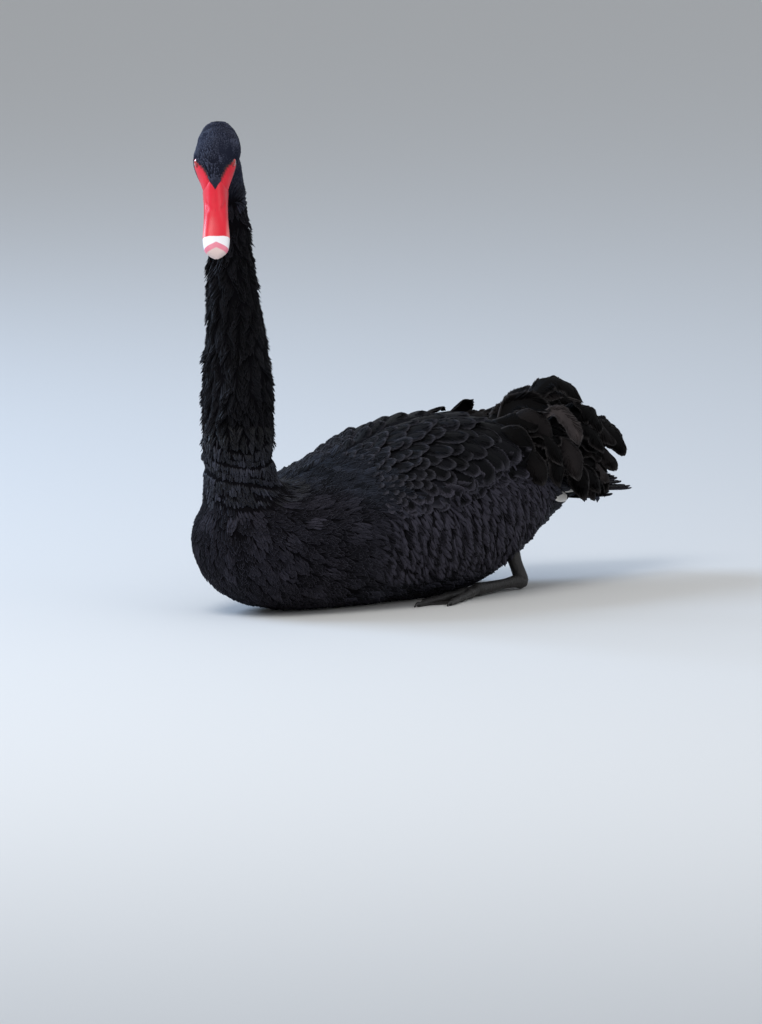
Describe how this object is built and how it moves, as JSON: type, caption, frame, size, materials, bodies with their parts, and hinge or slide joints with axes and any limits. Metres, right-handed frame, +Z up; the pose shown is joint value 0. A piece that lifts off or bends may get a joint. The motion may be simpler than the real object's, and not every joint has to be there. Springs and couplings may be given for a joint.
{
  "type": "black swan",
  "caption": "Life-size still model of a black swan resting on its belly as it swims, neck upright and head turned to its left.",
  "frame": {"origin": "on the belly's flat, in the plane of symmetry of the trunk, at the level of the floor", "axes": "+Z up, -Y towards the breast, +X to the bird's left"},
  "size_m": [0.2585, 0.6348, 0.5474],
  "materials": {
    "plumage": "black and brown-black feathers with a faint blue sheen",
    "bill": "waxy red horn with a white band near the tip",
    "eye": "wet dark red",
    "foot": "matt dark grey scaled skin"
  },
  "bodies": {
    "root": {"torso": "plumage", "head": "plumage", "neck_upper": "plumage", "neck_middle": "plumage", "neck_lower": "plumage", "wing_left": "plumage", "wing_right": "plumage", "tail": "plumage", "bill_upper": "bill", "bill_lower": "bill", "eye_left": "eye", "eye_right": "eye", "foot_left": "foot", "foot_right": "foot"}
  },
  "joints": []
}
